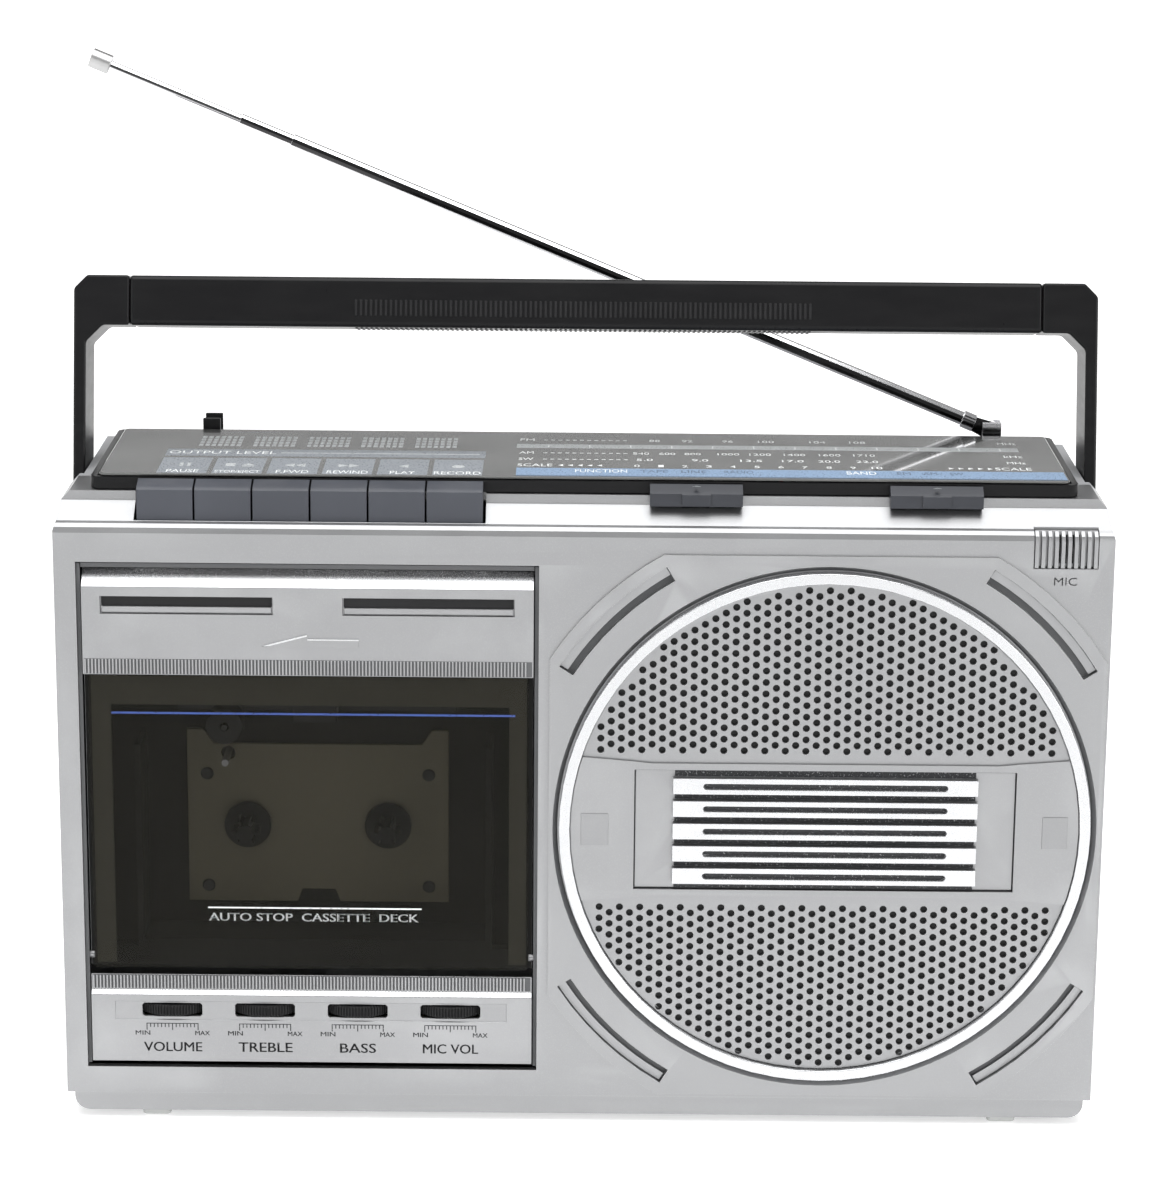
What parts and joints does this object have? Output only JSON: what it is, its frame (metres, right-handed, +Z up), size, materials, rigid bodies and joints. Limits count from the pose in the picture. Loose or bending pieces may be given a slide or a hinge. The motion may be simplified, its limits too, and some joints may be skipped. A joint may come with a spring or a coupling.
{
  "type": "portable radio cassette recorder",
  "caption": "Portable radio cassette recorder with carrying handle, telescopic aerial, piano keys, hinged cassette door, round loudspeaker and tuning dial.",
  "frame": {"origin": "bottom centre of the whole bounding box, on the surface the feet stand on", "axes": "+Z up, +X to the right seen from the front, controls and loudspeaker face -Y"},
  "size_m": [0.31, 0.0966, 0.3147],
  "materials": {
    "silver_plastic": "fine silver paint on plastic, satin",
    "key_plastic": "dark blue-grey plastic, satin",
    "black_plastic": "black plastic, polished",
    "dial_gloss": "black gloss panel with printed scales",
    "window_smoke": "smoked clear plastic",
    "deck_steel": "passivated sheet steel",
    "chrome": "bright plated brass tube",
    "circuit_board": "brown phenolic board with solder side",
    "rubber_black": "black rubber",
    "ferrite_magnet": "dark sintered ferrite",
    "cone_paper": "black pressed paper",
    "foot_pale": "pale soft plastic",
    "pointer_red": "orange-red plastic",
    "brass": "turned brass",
    "capacitor_pale": "pale moulded plastic"
  },
  "bodies": {
    "body": {"front_cabinet": "silver_plastic", "rear_cabinet": "silver_plastic", "foot_1": "foot_pale", "foot_2": "foot_pale", "foot_3": "foot_pale", "foot_4": "foot_pale", "control_panel": "silver_plastic", "control_board": "circuit_board", "cassette_well": "key_plastic", "deck_plate": "deck_steel", "flywheel_bracket": "deck_steel", "motor": "deck_steel", "drive_belt": "rubber_black", "key_rod": "deck_steel", "switch_board": "circuit_board", "dial_housing": "black_plastic", "dial_plate": "dial_gloss", "speaker_ring": "silver_plastic", "speaker_grille": "silver_plastic", "speaker_badge": "key_plastic", "speaker_basket": "deck_steel", "speaker_magnet": "ferrite_magnet", "speaker_cone": "cone_paper", "mic_grille": "silver_plastic", "main_board": "circuit_board", "tuning_capacitor": "capacitor_pale", "transformer": "deck_steel", "mains_inlet": "black_plastic", "aerial_clip": "black_plastic"},
    "battery_lid": {"battery_lid": "silver_plastic"},
    "door": {"door_frame": "silver_plastic", "door_window": "window_smoke"},
    "wheel_volume": {"wheel_volume": "key_plastic"},
    "wheel_treble": {"wheel_treble": "key_plastic"},
    "wheel_bass": {"wheel_bass": "key_plastic"},
    "wheel_mic": {"wheel_mic": "key_plastic"},
    "takeup_spindle": {"takeup_spindle": "key_plastic"},
    "supply_spindle": {"supply_spindle": "key_plastic"},
    "flywheel": {"flywheel": "deck_steel"},
    "motor_pulley": {"motor_pulley": "brass"},
    "head_bridge": {"head_bridge": "deck_steel", "tape_head": "chrome"},
    "pinch_roller": {"pinch_roller": "rubber_black"},
    "key_pause": {"key_pause": "key_plastic"},
    "key_stop": {"key_stop": "key_plastic"},
    "key_forward": {"key_forward": "key_plastic"},
    "key_rewind": {"key_rewind": "key_plastic"},
    "key_play": {"key_play": "key_plastic"},
    "key_record": {"key_record": "key_plastic"},
    "function_knob": {"function_knob": "key_plastic"},
    "band_knob": {"band_knob": "key_plastic"},
    "dial_pointer": {"dial_pointer": "pointer_red"},
    "tuning_knob": {"tuning_knob": "key_plastic"},
    "handle": {"handle_arm_left": "black_plastic", "handle_arm_right": "black_plastic", "handle_grip": "black_plastic"},
    "aerial_swivel": {"aerial_swivel": "chrome"},
    "aerial_tube_1": {"aerial_tube_1": "chrome"},
    "aerial_tube_2": {"aerial_tube_2": "chrome"},
    "aerial_tube_3": {"aerial_tube_3": "chrome"}
  },
  "joints": [
    {"name": "handle_swing", "type": "hinge", "parent": "body", "child": "handle", "pos_m": [0, -0.0012, 0.172], "axis": [1, 0, 0], "range_deg": [-6.5, 12.3]},
    {"name": "aerial_swivel_turn", "type": "hinge", "parent": "body", "child": "aerial_swivel", "pos_m": [0.127, 0.0399, 0.1982], "axis": [0, 0, -1], "range_deg": [0, 180]},
    {"name": "aerial_tilt", "type": "hinge", "parent": "aerial_swivel", "child": "aerial_tube_1", "pos_m": [0.127, 0.0399, 0.1982], "axis": [0, 1, 0], "range_deg": [-22.2, 112.8]},
    {"name": "aerial_slide_1", "type": "slide", "parent": "aerial_tube_1", "child": "aerial_tube_2", "axis": [-0.9259, 0, 0.3778], "range_m": [-0.015, 0.19]},
    {"name": "aerial_slide_2", "type": "slide", "parent": "aerial_tube_2", "child": "aerial_tube_3", "axis": [-0.9259, 0, 0.3778], "range_m": [-0.038, 0.165]},
    {"name": "door_hinge", "type": "hinge", "parent": "body", "child": "door", "pos_m": [0, -0.0427, 0.0522], "axis": [1, 0, 0], "range_deg": [0, 38]},
    {"name": "key_pause_press", "type": "hinge", "parent": "body", "child": "key_pause", "pos_m": [-0.12258, -0.0117, 0.186], "axis": [1, 0, 0], "range_deg": [0, 8], "stiffness_Nm_per_rad": 0.25, "springref_deg": -11.46},
    {"name": "key_stop_press", "type": "hinge", "parent": "body", "child": "key_stop", "pos_m": [-0.10562, -0.0117, 0.186], "axis": [1, 0, 0], "range_deg": [0, 8], "stiffness_Nm_per_rad": 0.25, "springref_deg": -11.46},
    {"name": "key_forward_press", "type": "hinge", "parent": "body", "child": "key_forward", "pos_m": [-0.08868, -0.0117, 0.186], "axis": [1, 0, 0], "range_deg": [0, 8], "stiffness_Nm_per_rad": 0.25, "springref_deg": -11.46},
    {"name": "key_rewind_press", "type": "hinge", "parent": "body", "child": "key_rewind", "pos_m": [-0.07172, -0.0117, 0.186], "axis": [1, 0, 0], "range_deg": [0, 8], "stiffness_Nm_per_rad": 0.25, "springref_deg": -11.46},
    {"name": "key_play_press", "type": "hinge", "parent": "body", "child": "key_play", "pos_m": [-0.05477, -0.0117, 0.186], "axis": [1, 0, 0], "range_deg": [0, 8], "stiffness_Nm_per_rad": 0.25, "springref_deg": -11.46},
    {"name": "key_record_press", "type": "hinge", "parent": "body", "child": "key_record", "pos_m": [-0.03782, -0.0117, 0.186], "axis": [1, 0, 0], "range_deg": [0, 8], "stiffness_Nm_per_rad": 0.25, "springref_deg": -11.46},
    {"name": "head_bridge_slide", "type": "slide", "parent": "body", "child": "head_bridge", "axis": [0, 0, -1], "range_m": [0, 0.0045]},
    {"name": "wheel_volume_turn", "type": "hinge", "parent": "body", "child": "wheel_volume", "pos_m": [-0.1228, -0.0345, 0.0355], "axis": [0, 0, 1], "range_deg": [-135, 135]},
    {"name": "wheel_treble_turn", "type": "hinge", "parent": "body", "child": "wheel_treble", "pos_m": [-0.09487, -0.0345, 0.0355], "axis": [0, 0, 1], "range_deg": [-135, 135]},
    {"name": "wheel_bass_turn", "type": "hinge", "parent": "body", "child": "wheel_bass", "pos_m": [-0.06694, -0.0345, 0.0355], "axis": [0, 0, 1], "range_deg": [-135, 135]},
    {"name": "wheel_mic_turn", "type": "hinge", "parent": "body", "child": "wheel_mic", "pos_m": [-0.03901, -0.0345, 0.0355], "axis": [0, 0, 1], "range_deg": [-135, 135]},
    {"name": "function_slide", "type": "slide", "parent": "body", "child": "function_knob", "axis": [1, 0, 0], "range_m": [-0.007, 0.007]},
    {"name": "band_slide", "type": "slide", "parent": "body", "child": "band_knob", "axis": [1, 0, 0], "range_m": [-0.009, 0.009]},
    {"name": "tuning_turn", "type": "hinge", "parent": "body", "child": "tuning_knob", "pos_m": [0.1367, 0.0243, 0.14], "axis": [0, 0, 1], "range_deg": [-270, 270]},
    {"name": "pointer_slide", "type": "slide", "parent": "body", "child": "dial_pointer", "axis": [1, 0, 0], "range_m": [-0.058, 0.058]},
    {"name": "flywheel_spin", "type": "hinge", "parent": "body", "child": "flywheel", "pos_m": [-0.1068, 0.0033, 0.11], "axis": [0, 1, 0], "continuous": true},
    {"name": "pulley_spin", "type": "hinge", "parent": "body", "child": "motor_pulley", "pos_m": [-0.033, 0.0033, 0.112], "axis": [0, 1, 0], "continuous": true},
    {"name": "takeup_spin", "type": "hinge", "parent": "body", "child": "takeup_spindle", "pos_m": [-0.10105, -0.0157, 0.0879], "axis": [0, 1, 0], "continuous": true},
    {"name": "supply_spin", "type": "hinge", "parent": "body", "child": "supply_spindle", "pos_m": [-0.05855, -0.0157, 0.0879], "axis": [0, 1, 0], "continuous": true},
    {"name": "pinch_roller_spin", "type": "hinge", "parent": "head_bridge", "child": "pinch_roller", "pos_m": [-0.1068, -0.0317, 0.1214], "axis": [0, 1, 0], "continuous": true},
    {"name": "battery_lid_off", "type": "slide", "parent": "body", "child": "battery_lid", "axis": [0, 1, 0], "range_m": [0, 0.03]}
  ],
  "couplings": [
    {"joint": "head_bridge_slide", "follows": "key_play_press", "m_per_rad": 0.032197},
    {"joint": "pointer_slide", "follows": "tuning_turn", "m_per_rad": 0.0121},
    {"joint": "pulley_spin", "follows": "flywheel_spin", "ratio": 4},
    {"joint": "takeup_spin", "follows": "flywheel_spin", "ratio": 0.25}
  ]
}
